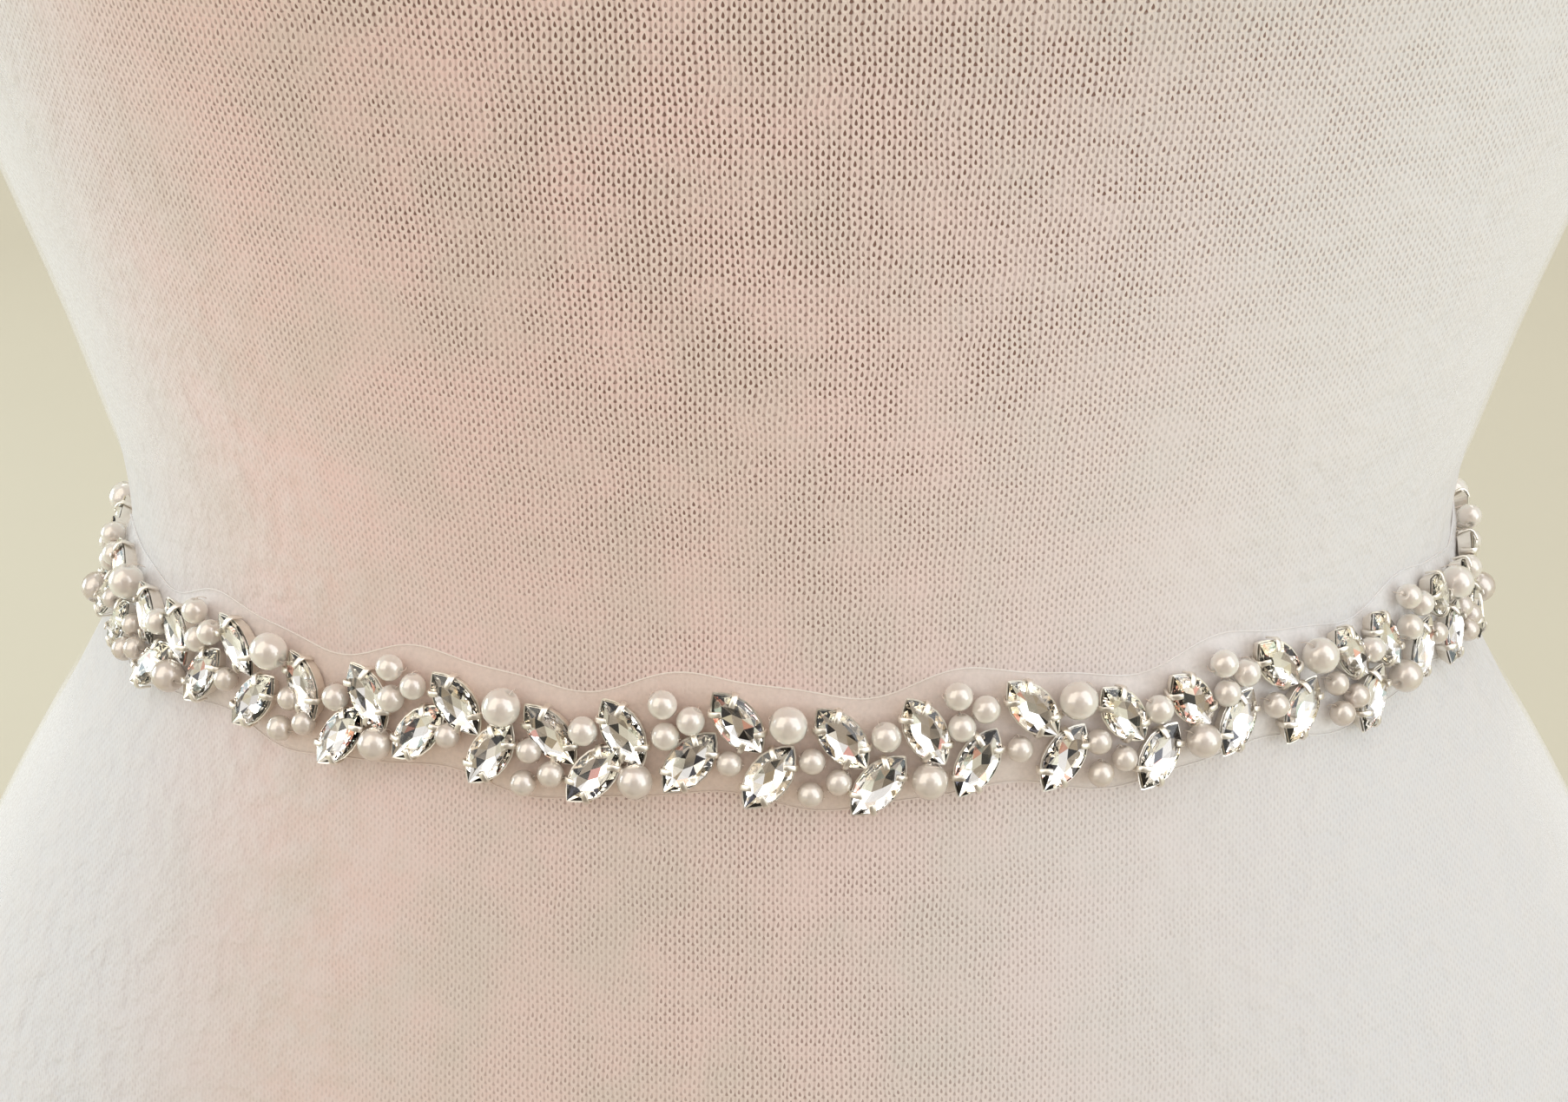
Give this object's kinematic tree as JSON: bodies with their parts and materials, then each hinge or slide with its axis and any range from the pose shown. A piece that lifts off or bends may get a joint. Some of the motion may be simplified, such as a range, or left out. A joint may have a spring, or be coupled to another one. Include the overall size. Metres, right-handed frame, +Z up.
{
  "type": "bridal belt on dress form",
  "caption": "Narrow sheer bridal belt beaded with pearls and pointed oval stones, with satin ribbon ends hooked at the back, worn round the waist of a limbless dress form.",
  "frame": {"origin": "middle of the dress form's flat base, straight below the middle of its waist", "axes": "+Z up the form, -Y towards its front, +X towards the viewer's right, which is the form's left-hand side"},
  "size_m": [0.3488, 0.2563, 0.69],
  "materials": {
    "form_cover": "fine knitted cover, matt, with a pale nap",
    "organza": "sheer plain weave with a soft sheen and a rolled edge",
    "satin": "satin, smooth and lustrous",
    "pearl": "pearl lustre over a smooth bead",
    "stone": "clear cut glass with a foiled back",
    "setting": "polished silver plate",
    "thread": "matt sewing thread",
    "wire": "smooth nickel-plated wire"
  },
  "bodies": {
    "root": {"dress_form": "form_cover", "beaded_strip_1": "organza", "beaded_strip_2": "organza", "beaded_strip_3": "organza", "beaded_strip_4": "organza", "beaded_strip_5": "organza", "beaded_strip_6": "organza", "beaded_strip_7": "organza", "beaded_strip_8": "organza", "beaded_strip_9": "organza", "ribbon_right_hand": "satin", "ribbon_left_hand": "satin", "eye_top": "wire", "eye_bottom": "wire", "hook_top": "wire", "hook_bottom": "wire"}
  },
  "joints": []
}
